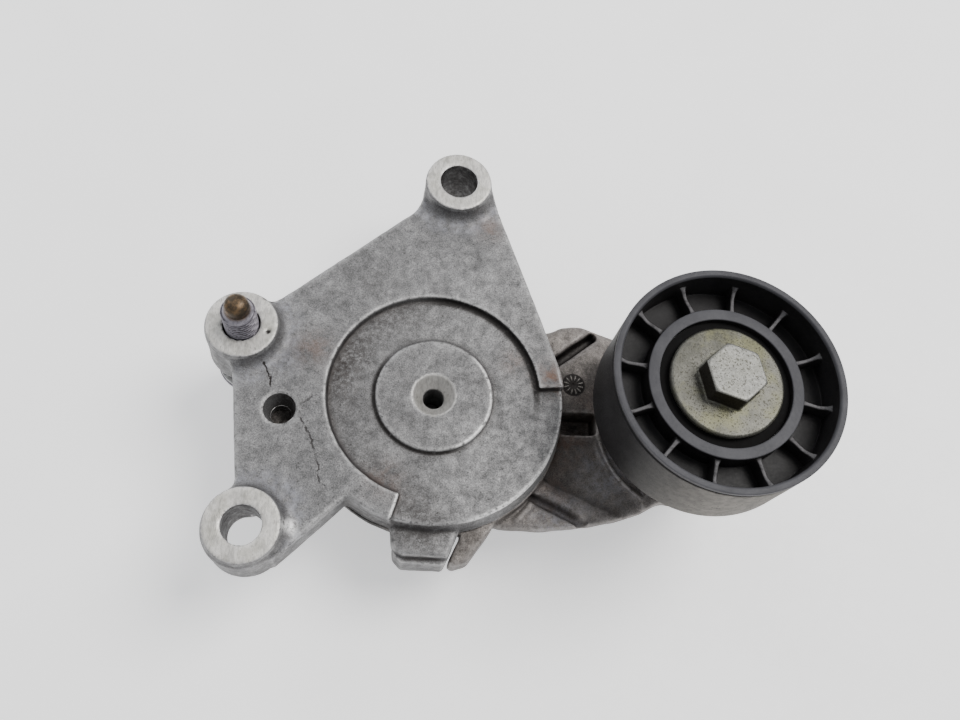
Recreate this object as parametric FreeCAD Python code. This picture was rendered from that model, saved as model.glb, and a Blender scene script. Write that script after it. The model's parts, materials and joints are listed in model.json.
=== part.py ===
import FreeCAD, Part
import math
import os

# Belt tensioner with a smooth idler pulley.
# Millimetres. The origin is on the arm's pivot axis, in the joint plane between bracket and arm.
# +Z points to the engine block, along the pivot axis. +X points from the pivot towards the pulley.

V = FreeCAD.Vector

# ---- Driving dimensions -------------------------------------------------------------------
PIVOT = (0.0, 0.0)
PULLEY_AXIS = (78.0, -3.9)
TOP_BOSS = (6.2, 71.1)
BOLT_BOSS = (-56.8, 17.3)
LOWER_BOSS = (-51.1, -41.3)
LOCK_HOLE = (-44.4, -6.4)
BOSSES = (TOP_BOSS, BOLT_BOSS, LOWER_BOSS)

# Heights of the bracket
DISC_Z = 8.0            # flat round face over the spring housing
HUB_DISC_Z = 9.0        # slightly raised disc round the centre hole
PLATE_Z = 10.0          # raised plate that carries the bosses
BOSS_Z = 15.0           # machined faces that meet the engine
BOSS_FOOT_Z = -1.5      # bosses end just below the plate's underside,
TOP_FOOT_Z = -4.5       # and the top boss a little further down

# Bosses and their holes for M10 bolts
BOSS_FEET = (TOP_FOOT_Z, BOSS_FOOT_Z, BOSS_FOOT_Z)
BOSS_R = 10.4
BOSS_DRAFT = 0.9        # growth of the boss radius from face to foot
BOSS_HOLE_R = 5.5
TOP_HOLE_R = 6.0        # wider, so that the bracket can be lined up
BOSS_FLARE = 4.0
LOCK_MOUTH_R = 4.7
LOCK_PIN_R = 3.05
LOCK_PIN_Z = 4.0        # the hole is wider above this height

# Spring housing and pivot
HOUSING_TOP_R = 38.6
HOUSING_R = 40.0
RECESS_R = 31.8
HUB_DISC_R = 17.2
CENTRE_HOLE_R = 3.1
POST_R = 9.5
POST_END_Z = -29.7
SPRING_ROOF_Z = 3.5

# Arm
ARM_TOP_Z = -0.4
ARM_FLANGE_Z = -3.6
CUP_R = 34.5
CUP_FOOT_R = 33.5
CUP_WALL = 3.4
CUP_FLOOR_Z = -24.5
CUP_BACK_Z = -33.0
HUB_R = 16.0
HUB_BORE_R = 12.0
WEB_BACK_Z = -28.5
LEVER_TOP_Z = -2.5
LEVER_LIP_Z = -8.0      # below this the lever's walls stand back under its edge
LEVER_FOOT_Z = -15.0
LEVER_INSET = 3.2
LOCK_EYE_DEG = 173.2    # the eye meets the bracket's lock hole after this much swing:
LOCK_SWING_DEG = 15.0
EAR_R = 5.2

# Pulley on its bearing (17 x 40 x 12 mm deep-groove ball bearing)
PULLEY_R = 32.5
PULLEY_FRONT_Z = 42.8
PULLEY_REAR_Z = 17.5
RIM_WALL = 2.1
HUB_RING_R = 22.0
HUB_FRONT_Z = 38.9
RIBS = 12
RIB_PHASE = 18.5
BEARING_BORE_R = 8.5
BEARING_R = 20.0
BEARING_Z = 24.5
BEARING_WIDTH = 12.0
BALL_R = 3.37
BALL_PITCH_R = 14.25
BALLS = 8

# Pulley bolt, M10 with a wide flange
FLANGE_R = 16.05
FLANGE_Z = 39.9
HEX_FLATS = 15.0
HEX_PHASE = 41.0
HEX_HEIGHT = 6.6
M10_R = 4.95

# Captive mounting bolt, M10
BOLT_TIP_Z = 29.0
BOLT_THREAD_Z = 24.6
BOLT_THREAD_FOOT_Z = 15.6   # thread starts just above the boss face, on a waisted shank
BOLT_WAIST_R = 4.45
BOLT_SEAT_Z = -13.0
BOLT_PILOT_R = 3.6

GAP = 0.1               # axial clearance between parts that turn on each other


# ---- Helpers ------------------------------------------------------------------------------
def polar(radius, degrees, centre=PIVOT):
    angle = math.radians(degrees)
    return (centre[0] + radius * math.cos(angle), centre[1] + radius * math.sin(angle))


def cylinder(radius, low, high, at=PIVOT):
    return Part.makeCylinder(radius, high - low, V(at[0], at[1], low))


def cone(low_radius, high_radius, low, high, at=PIVOT):
    return Part.makeCone(low_radius, high_radius, high - low, V(at[0], at[1], low))


def ring(inner, outer, low, high, at=PIVOT):
    return cylinder(outer, low, high, at).cut(cylinder(inner, low - 1, high + 1, at))


def turned(profile, at=PIVOT):
    """Solid of revolution of a closed (radius, z) outline about the vertical axis at a point."""
    points = [V(at[0] + r, at[1], z) for r, z in profile]
    face = Part.Face(Part.makePolygon(points + points[:1]))
    return face.revolve(V(at[0], at[1], 0), V(0, 0, 1), 360)


def flat(points):
    """Flat polygon that faces up, whichever way round its points run."""
    doubled_area = sum(a[0] * b[1] - b[0] * a[1] for a, b in zip(points, points[1:] + points[:1]))
    corners = [V(x, y, 0) for x, y in (points if doubled_area > 0 else points[::-1])]
    return Part.Face(Part.makePolygon(corners + corners[:1]))


def disc(radius, at=PIVOT):
    return Part.Face(Part.Wire(Part.makeCircle(radius, V(at[0], at[1], 0))))


def merged(faces):
    return faces[0].multiFuse(faces[1:]).removeSplitter().Faces[0]


def blended(face, radius):
    """Round the inner corners of a flat outline."""
    return face.makeOffset2D(radius).makeOffset2D(-radius)


def rounded(face, radius):
    """Round the outer corners of a flat outline."""
    return face.makeOffset2D(-radius).makeOffset2D(radius)


def prism(face, low, high):
    lifted = face.copy()
    lifted.translate(V(0, 0, low))
    return lifted.extrude(V(0, 0, high - low))


def sector(start, end, radius, low, high):
    """Wedge about the pivot axis from one angle to another, as a prism."""
    steps = max(2, int(abs(end - start) // 30) + 1)
    rim = [polar(radius, start + (end - start) * i / steps) for i in range(steps + 1)]
    return prism(flat([PIVOT] + rim), low, high)


def bar(start, end, width, low, high):
    """Upright bar of a given width along a line in plan."""
    dx, dy = end[0] - start[0], end[1] - start[1]
    length = math.hypot(dx, dy)
    nx, ny = -dy / length * width / 2, dx / length * width / 2
    corners = [(start[0] + nx, start[1] + ny), (start[0] - nx, start[1] - ny),
               (end[0] - nx, end[1] - ny), (end[0] + nx, end[1] + ny)]
    return prism(flat(corners), low, high)


def hexagon(flats, low, high, at, phase=0.0):
    corner = flats / math.sqrt(3)
    return prism(flat([polar(corner, phase + 60 * i, at) for i in range(6)]), low, high)


def edges_at(shape, z, test=lambda edge: True):
    """Edges that lie in one horizontal plane and pass a test."""
    return [edge for edge in shape.Edges
            if abs(edge.BoundBox.ZMin - z) < 1e-4 and abs(edge.BoundBox.ZMax - z) < 1e-4 and test(edge)]


def circle_edges(shape, z, radius):
    def is_circle(edge):
        return isinstance(edge.Curve, Part.Circle) and abs(edge.Curve.Radius - radius) < 1e-3
    return edges_at(shape, z, is_circle)


def fused(shapes):
    return shapes[0].multiFuse(shapes[1:]).removeSplitter()


def bolt_head(at, seat, flats, height, direction, phase=0.0):
    """Hexagon head with its corners chamfered on the outer side."""
    top = seat + direction * height
    head = hexagon(flats, min(seat, top), max(seat, top), at, phase)
    limit = flats / math.sqrt(3) + 0.2
    reach = limit - (flats / 2 + 0.4)
    slope = reach * math.tan(math.radians(30))
    if direction > 0:
        crown = cone(limit, limit - reach, top - slope, top, at)
        crown = crown.fuse(cylinder(limit, seat, top - slope, at))
    else:
        crown = cone(limit - reach, limit, top, top + slope, at)
        crown = crown.fuse(cylinder(limit, top + slope, seat, at))
    return head.common(crown)


# ---- Bracket ------------------------------------------------------------------------------
RIGHT_EDGE_DEG = 19.3       # direction of the normal of the plate's right edge
PLATE_RIM_R = 39.4
PLATE_END_DEG = 5.9         # raised plate ends here, on the right of the housing
PLATE_START_DEG = 252.8     # and here, below the housing


def plate_outline():
    upper = flat([polar(BOSS_R, RIGHT_EDGE_DEG, TOP_BOSS), (-2.8, 66.1), (-50.2, 25.8), (-59.1, 7.1),
                  PIVOT, polar(PLATE_RIM_R, RIGHT_EDGE_DEG)])
    neck = blended(merged([upper, disc(BOSS_R + 0.3, TOP_BOSS)]), 12.0)
    lower = flat([(-59.1, 7.1), (-54.4, -31.3), (-42.6, -50.0), (-25.0, -32.8), PIVOT])
    sides = merged([neck, lower, disc(BOSS_R + 0.5, BOLT_BOSS), disc(BOSS_R + 0.9, LOWER_BOSS)])
    return blended(merged([blended(sides, 4.0), disc(PLATE_RIM_R)]), 1.6)


def boss(at, plate, foot):
    body = cone(BOSS_R + BOSS_DRAFT, BOSS_R, foot, BOSS_Z, at)
    foot_r = BOSS_R + BOSS_DRAFT * 0.3
    flare = cylinder(foot_r + BOSS_FLARE, PLATE_Z - 1, PLATE_Z + BOSS_FLARE, at)
    groove = Part.makeTorus(foot_r + BOSS_FLARE, BOSS_FLARE, V(at[0], at[1], PLATE_Z + BOSS_FLARE))
    flare = flare.cut(groove).common(prism(plate, PLATE_Z - 1, BOSS_Z))
    return body.fuse(flare)


def boss_hole(at, foot, radius, chamfer):
    hole = cylinder(radius, foot - 1, BOSS_Z + 1, at)
    mouth = cone(radius, radius + chamfer + 0.5, BOSS_Z - chamfer, BOSS_Z + 0.5, at)
    return hole.fuse(mouth)


def plate_pockets(plate):
    """Hollows in the plate's underside, split up by ribs that run to the bosses."""
    wall, roof = 3.2, PLATE_Z - 4.6
    hollow = prism(plate.makeOffset2D(-wall), BOSS_FOOT_Z - 1, roof)
    keep = [cylinder(HOUSING_R + 1.0, BOSS_FOOT_Z - 2, roof + 1)]
    keep += [cylinder(BOSS_R + 2.6, BOSS_FOOT_Z - 2, roof + 1, at) for at in BOSSES]
    keep.append(cylinder(LOCK_MOUTH_R + 2.8, BOSS_FOOT_Z - 2, roof + 1, LOCK_HOLE))
    for at in BOSSES + tuple(polar(70, degrees) for degrees in (68, 103, 122, 145)):
        keep.append(bar(PIVOT, at, 3.0, BOSS_FOOT_Z - 2, roof + 1))
    return hollow.cut(keep[0].multiFuse(keep[1:]))


def base_stop_lug():
    """Hooked block on the housing's rim that the arm's two stop lugs run against."""
    shelf = flat([(-11.9, -36.0), (-10.9, -44.4), (-7.6, -46.2), (5.2, -46.6), (8.3, -39.4), (9.6, -36.0)])
    skirt = flat([(-10.6, -41.8), (-10.2, -45.4), (-7.9, -47.9), (4.6, -48.3), (7.2, -42.2)])
    top = prism(rounded(shelf, 1.2), 0.0, SPRING_ROOF_Z)
    top = top.makeFillet(1.3, edges_at(top, SPRING_ROOF_Z))
    hook = prism(rounded(skirt, 1.0), -12.0, 0.4)
    clear = cylinder(HOUSING_R + 0.9, -13.0, 0.0)
    return top.fuse(hook.cut(clear))


def base_bracket():
    outline = plate_outline()
    plate = prism(outline, 0.0, PLATE_Z)
    plate = plate.makeFillet(1.0, edges_at(plate, PLATE_Z))
    plate = plate.cut(plate_pockets(outline))
    plate = plate.cut(cone(RECESS_R - 0.5, RECESS_R, DISC_Z, PLATE_Z, PIVOT).fuse(
        cylinder(RECESS_R, PLATE_Z, PLATE_Z + 1)))
    plate = plate.cut(sector(PLATE_START_DEG - 360, PLATE_END_DEG, 80, 0.0, PLATE_Z + 1))

    housing = cone(HOUSING_R, HOUSING_TOP_R, 0.0, DISC_Z)
    housing = housing.makeFillet(0.6, circle_edges(housing, DISC_Z, HOUSING_TOP_R))
    body = [plate, housing, cone(HUB_DISC_R + 0.9, HUB_DISC_R, DISC_Z - 1, HUB_DISC_Z), base_stop_lug()]
    body += [boss(at, outline, foot) for at, foot in zip(BOSSES, BOSS_FEET)]
    solid = fused(body)

    # spring cavity, seal groove and pivot post
    solid = solid.cut(cylinder(35.0, -1.0, SPRING_ROOF_Z))
    solid = solid.cut(ring(36.3, 38.3, -1.0, 1.2))
    post = cylinder(POST_R, POST_END_Z, SPRING_ROOF_Z + 1)
    shoulder = cone(14.0, 16.0, -0.2, SPRING_ROOF_Z)
    solid = fused([solid, post, shoulder])

    # holes
    centre = cylinder(CENTRE_HOLE_R, -8.0, HUB_DISC_Z + 1)
    countersink = cone(CENTRE_HOLE_R, 6.4, 5.2, HUB_DISC_Z)
    screw_hole = cylinder(4.0, POST_END_Z - 1, -17.0)
    lock = cylinder(LOCK_MOUTH_R, LOCK_PIN_Z, PLATE_Z + 1, LOCK_HOLE).fuse(
        cylinder(LOCK_PIN_R, -1.0, LOCK_PIN_Z + 1, LOCK_HOLE))
    lock_rim = cone(LOCK_MOUTH_R, LOCK_MOUTH_R + 0.5, PLATE_Z - 0.5, PLATE_Z, LOCK_HOLE)
    relief = cylinder(5.6, BOSS_FOOT_Z - 1, 3.0, (LOWER_BOSS[0] + 2.6, LOWER_BOSS[1] + 0.3))
    cuts = [centre, countersink, screw_hole, lock, lock_rim, relief,
            boss_hole(TOP_BOSS, TOP_FOOT_Z, TOP_HOLE_R, 0.2),
            boss_hole(BOLT_BOSS, BOSS_FOOT_Z, BOSS_HOLE_R, 0.3),
            boss_hole(LOWER_BOSS, BOSS_FOOT_Z, BOSS_HOLE_R, 0.4)]
    return solid.cut(cuts[0].multiFuse(cuts[1:]))


# ---- Pivot parts --------------------------------------------------------------------------
def pivot_end_plate():
    plate = ring(4.05, 17.5, POST_END_Z - 1.6, POST_END_Z)
    return plate.makeChamfer(0.4, circle_edges(plate, POST_END_Z - 1.6, 17.5))


def pivot_end_screw():
    seat = POST_END_Z - 1.6
    head = cone(6.2, 7.2, seat - 1.4, seat)
    socket = hexagon(5.0, seat - 2.0, seat - 0.5, PIVOT)
    return head.fuse(cylinder(3.95, seat - 0.1, -18.5)).cut(socket)


def thrust_washer():
    return ring(POST_R + 0.06, 16.5, WEB_BACK_Z - GAP - 1.0, WEB_BACK_Z - GAP)


def pivot_bush():
    sleeve = ring(POST_R + 0.05, HUB_BORE_R - 0.02, WEB_BACK_Z + 0.5, -1.6)
    collar = ring(POST_R + 0.05, 15.4, -2.1, -0.35)
    return sleeve.fuse(collar).removeSplitter()


def torsion_spring():
    wire_r, coil_r, pitch, turns = 2.45, 23.4, 5.55, 3.9
    low = CUP_FLOOR_Z + wire_r + 0.3
    path = Part.makeLongHelix(pitch, pitch * turns, coil_r)
    section = Part.Wire(Part.makeCircle(wire_r, V(coil_r, 0, 0), V(0, 1, 0)))
    coil = Part.Wire(path.Edges).makePipeShell([section], True, True)
    coil.translate(V(0, 0, low))
    return coil


def spring_damper_sleeve():
    sleeve = ring(27.0, 30.4, CUP_FLOOR_Z + GAP, ARM_TOP_Z - 1.0)
    return sleeve.cut(bar(PIVOT, polar(40, 100), 2.0, CUP_FLOOR_Z - 1, 1.0))


def dust_seal():
    return ring(36.4, 38.2, -0.3, 1.15)


# ---- Arm ----------------------------------------------------------------------------------
LEVER_END_R = 24.0
POST_WALL_R = 26.6          # low curved wall that stands round the pulley post
POST_WALL = 1.3
POST_FLARE_R = 19.5         # foot of the pulley post
TROUGH_DEPTH = 2.3


def lever_outline():
    web = flat([(20.0, 32.0), (36.5, 26.9), (41.5, 29.9), (48.0, 30.5), (58.5, 26.8),
                polar(LEVER_END_R, 95, PULLEY_AXIS), PULLEY_AXIS, polar(LEVER_END_R, -86, PULLEY_AXIS),
                (71.5, -27.0), (64.5, -30.6), (56.0, -33.5), (46.4, -35.4), (34.0, -36.8), (18.0, -36.6)])
    return rounded(blended(merged([web, disc(LEVER_END_R, PULLEY_AXIS), disc(CUP_R - 2)]), 6.0), 6.0)


def lever(outline):
    solid = prism(outline, LEVER_LIP_Z, LEVER_TOP_Z)
    solid = solid.makeFillet(1.2, edges_at(solid, LEVER_TOP_Z))
    # diagonal groove between the upper ridge and the platform
    solid = solid.cut(bar((37.0, 15.3), (52.6, 27.2), 3.1, LEVER_LIP_Z + 0.6, 0.0))
    # shallow trough between the pulley post and the curved wall round it
    trough = ring(POST_FLARE_R + 0.1, POST_WALL_R - POST_WALL, LEVER_TOP_Z - TROUGH_DEPTH, 0.0, PULLEY_AXIS)
    left_side = prism(flat([(40.0, -40.0), (66.0, -40.0), (66.0, 40.0), (40.0, 40.0)]), -6.0, 1.0)
    solid = solid.cut(trough.common(left_side))
    foot = prism(outline.makeOffset2D(-LEVER_INSET), LEVER_FOOT_Z, LEVER_LIP_Z + 0.2)
    solid = solid.fuse(foot)
    outside_wall = cylinder(80, -12.0, 0.0).cut(cylinder(POST_WALL_R, -13.0, 1.0, PULLEY_AXIS))
    # deep pocket below the platform
    pocket = prism(rounded(flat([(37.0, 0.4), (56.0, 0.4), (56.0, -6.8), (37.0, -6.8)]), 1.0), -11.0, 0.0)
    solid = solid.cut(pocket.common(outside_wall))
    # lower field between the pocket and the diagonal rib
    field = prism(flat([(33.0, -7.6), (60.0, -7.6), (66.0, -38.0), (52.0, -38.0), (33.0, -28.0)]), -4.4, 0.0)
    rib = bar((25.6, -20.0), (59.6, -36.0), 5.6, -8.0, LEVER_TOP_Z)
    rib = rib.makeFillet(2.0, [e for e in edges_at(rib, LEVER_TOP_Z) if e.Length > 10])
    below_rib = flat([(24.0, -22.6), (60.0, -39.6), (20.0, -44.0)])
    solid = solid.cut(field.common(outside_wall).cut(rib).cut(prism(below_rib, -9.0, 1.0)))
    valley = bar((27.6, -25.6), (47.0, -35.0), 2.8, -6.2, 0.0)
    solid = solid.cut(valley)
    return solid.fuse(bar((31.0, -28.8), (25.6, -34.8), 1.6, -6.0, LEVER_TOP_Z + 0.9))


def lever_pockets(outline):
    """Hollows in the lever's underside between its side walls and cross ribs."""
    hollow = prism(outline.makeOffset2D(-LEVER_INSET - 3.0), LEVER_FOOT_Z - 1, -12.4)
    keep = [cylinder(CUP_R + 2.0, LEVER_FOOT_Z - 2, 0), cylinder(15.5, LEVER_FOOT_Z - 2, 0, PULLEY_AXIS)]
    for start, end in (((30, -3.9), (110, -3.9)), ((30, 30), (96, -30)), ((30, -34), (96, 22)),
                       ((54, 34), (54, -40)), ((78, -30), (78, 24))):
        keep.append(bar(start, end, 3.0, LEVER_FOOT_Z - 2, 0))
    return hollow.cut(keep[0].multiFuse(keep[1:]))


def pulley_post():
    x, y = PULLEY_AXIS
    post = cone(16.0, 13.0, LEVER_TOP_Z - 4, BEARING_Z - 0.8, PULLEY_AXIS)
    flare = cylinder(POST_FLARE_R, LEVER_TOP_Z - 1, LEVER_TOP_Z + 4, PULLEY_AXIS).cut(
        Part.makeTorus(POST_FLARE_R, 4.0, V(x, y, LEVER_TOP_Z + 4)))
    spigot = cylinder(BEARING_BORE_R - 0.03, BEARING_Z - 1, BEARING_Z + 9, PULLEY_AXIS)
    spigot = spigot.makeChamfer(0.6, circle_edges(spigot, BEARING_Z + 9, BEARING_BORE_R - 0.03))
    return fused([post, flare, spigot])


def arm_stop_lugs():
    """Lug that rests on the bracket's stop, and the one that meets it at full travel."""
    rest = flat([(9.6, -37.0), (8.9, -40.4), (7.65, -42.4), (5.4, -47.6), (7.4, -48.3), (11.6, -46.9),
                 (17.6, -38.6), (20.0, -34.0)])
    full = flat([polar(36, 217), polar(48.0, 215.5), polar(47.0, 207.5), polar(36, 203)])
    lugs = [prism(rounded(rest, 0.9), -12.0, ARM_TOP_Z), prism(rounded(full, 1.0), -12.0, ARM_TOP_Z)]
    return lugs[0].fuse(lugs[1])


def lock_ear():
    """Curved ear with an eye for the service pin; its solid part lies behind the bracket's hole at rest."""
    reach = math.hypot(*LOCK_HOLE)
    eye = polar(reach, LOCK_EYE_DEG)
    end = polar(reach, LOCK_EYE_DEG + LOCK_SWING_DEG + 2)
    ear = cylinder(EAR_R, -6.5, ARM_TOP_Z, eye).fuse(cylinder(EAR_R, -6.5, ARM_TOP_Z, end))
    arc = sector(LOCK_EYE_DEG, LOCK_EYE_DEG + LOCK_SWING_DEG + 2, 80, -6.5, ARM_TOP_Z)
    ear = ear.fuse(arc.common(cylinder(reach + EAR_R, -7.0, 0.0)))
    return ear.cut(cylinder(LOCK_PIN_R, -8.0, 1.0, eye))


def tension_arm():
    outline = lever_outline()
    flange = cylinder(HOUSING_R + 0.2, ARM_FLANGE_Z, ARM_TOP_Z)
    cup = cone(CUP_FOOT_R, CUP_R, CUP_BACK_Z, ARM_FLANGE_Z)
    cup = cup.makeFillet(3.0, circle_edges(cup, CUP_BACK_Z, CUP_FOOT_R))
    solid = fused([flange, cup, lever(outline).cut(lever_pockets(outline)), pulley_post(),
                   arm_stop_lugs(), lock_ear()])

    cavity = cylinder(CUP_R - CUP_WALL - 0.4, CUP_FLOOR_Z, 1.0).cut(cylinder(HUB_R, CUP_FLOOR_Z - 1, -2.2))
    bore = cylinder(HUB_BORE_R, WEB_BACK_Z - 1, 1.0)
    back = cylinder(19.0, CUP_BACK_Z - 1, WEB_BACK_Z)
    grooves = ring(22.2, 29.6, CUP_BACK_Z - 1, WEB_BACK_Z)
    spokes = [bar(PIVOT, polar(40, 15 + 45 * i), 3.2, CUP_BACK_Z - 2, 0) for i in range(8)]
    grooves = grooves.cut(spokes[0].multiFuse(spokes[1:]))
    bolt_hole = cylinder(5.0, LEVER_FOOT_Z - 1, BEARING_Z + 10, PULLEY_AXIS)
    return solid.cut(cavity.multiFuse([bore, back, grooves, bolt_hole]))


# ---- Pulley bearing -----------------------------------------------------------------------
BEARING_TOP_Z = BEARING_Z + BEARING_WIDTH
BALL_Z = BEARING_Z + BEARING_WIDTH / 2


def race_groove():
    return Part.makeTorus(BALL_PITCH_R, BALL_R + 0.05, V(PULLEY_AXIS[0], PULLEY_AXIS[1], BALL_Z))


def bearing_inner_ring():
    body = ring(BEARING_BORE_R, 12.25, BEARING_Z, BEARING_TOP_Z, PULLEY_AXIS)
    return body.cut(race_groove())


def bearing_outer_ring():
    body = ring(16.3, BEARING_R, BEARING_Z, BEARING_TOP_Z, PULLEY_AXIS)
    return body.cut(race_groove())


def ball_centres():
    return [polar(BALL_PITCH_R, 360 * i / BALLS, PULLEY_AXIS) for i in range(BALLS)]


def bearing_balls():
    return Part.makeCompound([Part.makeSphere(BALL_R, V(x, y, BALL_Z)) for x, y in ball_centres()])


def bearing_cage():
    body = ring(13.2, 15.3, BALL_Z - 4.4, BALL_Z + 4.4, PULLEY_AXIS)
    axis = V(PULLEY_AXIS[0], PULLEY_AXIS[1], BALL_Z)
    for x, y in ball_centres():
        outward = V(x, y, BALL_Z) - axis
        body = body.cut(Part.makeCylinder(BALL_R + 0.12, 6.0, axis + outward * 0.8, outward))
    return body


def bearing_front_seal():
    lip = ring(12.4, 16.28, BEARING_TOP_Z - 0.9, BEARING_TOP_Z, PULLEY_AXIS)
    cap = ring(13.4, 18.75, BEARING_TOP_Z, BEARING_TOP_Z + 0.5, PULLEY_AXIS)
    return lip.fuse(cap).removeSplitter()


def bearing_rear_seal():
    return ring(12.4, 16.28, BEARING_Z + 0.1, BEARING_Z + 1.0, PULLEY_AXIS)


def pulley_rear_shield():
    """Thin dished washer clamped between the pulley post and the bearing's inner ring."""
    top = BEARING_Z
    bore = BEARING_BORE_R + 0.02
    return turned([(bore, top), (12.2, top), (15.0, top - 0.8), (18.0, top - 0.8), (18.0, top - 1.6),
                   (14.6, top - 1.6), (13.0, top - 0.8), (bore, top - 0.8)], PULLEY_AXIS)


# ---- Pulley -------------------------------------------------------------------------------
def pulley():
    inner, outer, front = PULLEY_R - RIM_WALL, PULLEY_R, PULLEY_FRONT_Z
    rim = turned([(inner, PULLEY_REAR_Z), (outer - 0.6, PULLEY_REAR_Z), (outer, PULLEY_REAR_Z + 0.6),
                  (outer, front - 2.4), (outer - 0.35, front - 2.2), (outer - 0.35, front - 1.6),
                  (outer, front - 1.4), (outer, front - 0.5), (outer - 0.5, front), (inner, front)],
                 PULLEY_AXIS)
    foot, lip, outside = BEARING_Z - 4.4, BEARING_R - 1.2, HUB_RING_R
    hub = turned([(BEARING_R, foot + 3.0), (lip, foot + 3.0), (lip, foot), (outside - 0.4, foot),
                  (outside, foot + 0.4), (outside, HUB_FRONT_Z - 0.3), (outside - 0.3, HUB_FRONT_Z),
                  (lip + 0.2, HUB_FRONT_Z), (lip, HUB_FRONT_Z - 0.3), (lip, BEARING_TOP_Z),
                  (BEARING_R, BEARING_TOP_Z)], PULLEY_AXIS)
    lower_lip = ring(lip, BEARING_R + 1, foot, BEARING_Z, PULLEY_AXIS)
    web = ring(HUB_RING_R - 0.5, inner + 0.5, BALL_Z - 1.3, BALL_Z + 1.3, PULLEY_AXIS)
    pieces = [rim, hub, lower_lip, web] + pulley_ribs(inner)
    solid = fused(pieces)
    return solid.cut(cylinder(BEARING_R, BEARING_Z, BEARING_TOP_Z, PULLEY_AXIS))


def pulley_ribs(inner):
    """Thin radial ribs on both sides of the web, dished between rim and hub."""
    x, y = PULLEY_AXIS
    front, rear = HUB_FRONT_Z - 1.4, BEARING_Z - 3.2
    profile = [V(HUB_RING_R - 0.5, 0, rear), V(HUB_RING_R - 0.5, 0, front), V(inner - 3.4, 0, front - 0.9),
               V(inner + 0.5, 0, front + 1.9), V(inner + 0.5, 0, rear - 2.6), V(inner - 3.4, 0, rear + 0.9)]
    face = Part.Face(Part.makePolygon(profile + profile[:1]))
    plate = face.extrude(V(0, 1.3, 0))
    plate.translate(V(x, y - 0.65, 0))
    ribs = []
    for i in range(RIBS):
        rib = plate.copy()
        rib.rotate(V(x, y, 0), V(0, 0, 1), RIB_PHASE + 360 * i / RIBS)
        ribs.append(rib)
    return ribs


def pulley_bolt():
    seat = BEARING_TOP_Z
    flange = turned([(0, seat), (12.1, seat), (12.1, seat + 1.0), (FLANGE_R - 0.4, seat + 1.0),
                     (FLANGE_R, seat + 1.4), (FLANGE_R, FLANGE_Z - 0.9), (FLANGE_R - 0.5, FLANGE_Z - 0.35),
                     (9.4, FLANGE_Z), (0, FLANGE_Z)], PULLEY_AXIS)
    head = bolt_head(PULLEY_AXIS, FLANGE_Z - 0.5, HEX_FLATS, HEX_HEIGHT + 0.5, 1, HEX_PHASE)
    shank = cylinder(M10_R, -10.0, seat + 0.5, PULLEY_AXIS)
    shank = shank.makeChamfer(0.9, circle_edges(shank, -10.0, M10_R))
    return fused([flange, head, shank])


# ---- Captive mounting bolt ----------------------------------------------------------------
def mounting_bolt():
    seat, tip = BOLT_SEAT_Z, BOLT_TIP_Z
    shank = turned([(0, seat), (BOLT_WAIST_R, seat), (BOLT_WAIST_R, BOLT_THREAD_FOOT_Z - 0.5),
                    (M10_R, BOLT_THREAD_FOOT_Z), (M10_R, BOLT_THREAD_Z - 1.0),
                    (BOLT_PILOT_R + 0.1, BOLT_THREAD_Z), (BOLT_PILOT_R, tip - 2.2),
                    (BOLT_PILOT_R - 1.0, tip - 0.6), (1.2, tip), (0, tip)], BOLT_BOSS)
    flange = turned([(0, seat), (10.2, seat), (10.4, seat - 1.2), (8.0, seat - 2.6), (0, seat - 2.6)],
                    BOLT_BOSS)
    head = bolt_head(BOLT_BOSS, seat - 1.0, 13.0, 8.2, -1)
    return fused([shank, flange, head])


def mounting_bolt_washer():
    return ring(BOLT_WAIST_R + 0.6, 10.0, BOLT_SEAT_Z + GAP, BOLT_SEAT_Z + GAP + 1.6, BOLT_BOSS)


def bolt_retaining_ring():
    return ring(BOLT_WAIST_R + 0.03, BOSS_HOLE_R - 0.05, 1.0, 4.0, BOLT_BOSS)


# ---- Output -------------------------------------------------------------------------------
PIECES = {
    "base_bracket": base_bracket,
    "pivot_end_plate": pivot_end_plate,
    "pivot_end_screw": pivot_end_screw,
    "thrust_washer": thrust_washer,
    "torsion_spring": torsion_spring,
    "dust_seal": dust_seal,
    "tension_arm": tension_arm,
    "pivot_bush": pivot_bush,
    "spring_damper_sleeve": spring_damper_sleeve,
    "pulley_rear_shield": pulley_rear_shield,
    "bearing_inner_ring": bearing_inner_ring,
    "pulley_bolt": pulley_bolt,
    "pulley": pulley,
    "bearing_outer_ring": bearing_outer_ring,
    "bearing_front_seal": bearing_front_seal,
    "bearing_rear_seal": bearing_rear_seal,
    "bearing_cage": bearing_cage,
    "bearing_balls": bearing_balls,
    "mounting_bolt": mounting_bolt,
    "mounting_bolt_washer": mounting_bolt_washer,
    "bolt_retaining_ring": bolt_retaining_ring,
}

os.makedirs("parts", exist_ok=True)
for name, make in PIECES.items():
    shape = make()
    state = "valid" if shape.isValid() else "INVALID"
    print(name, state, len(shape.Solids), "solids", round(shape.Volume, 1))
    shape.exportStep("parts/" + name + ".step")
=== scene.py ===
import json
import math

import bmesh
import bpy
import numpy as np
from mathutils import Matrix, Vector, noise


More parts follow.
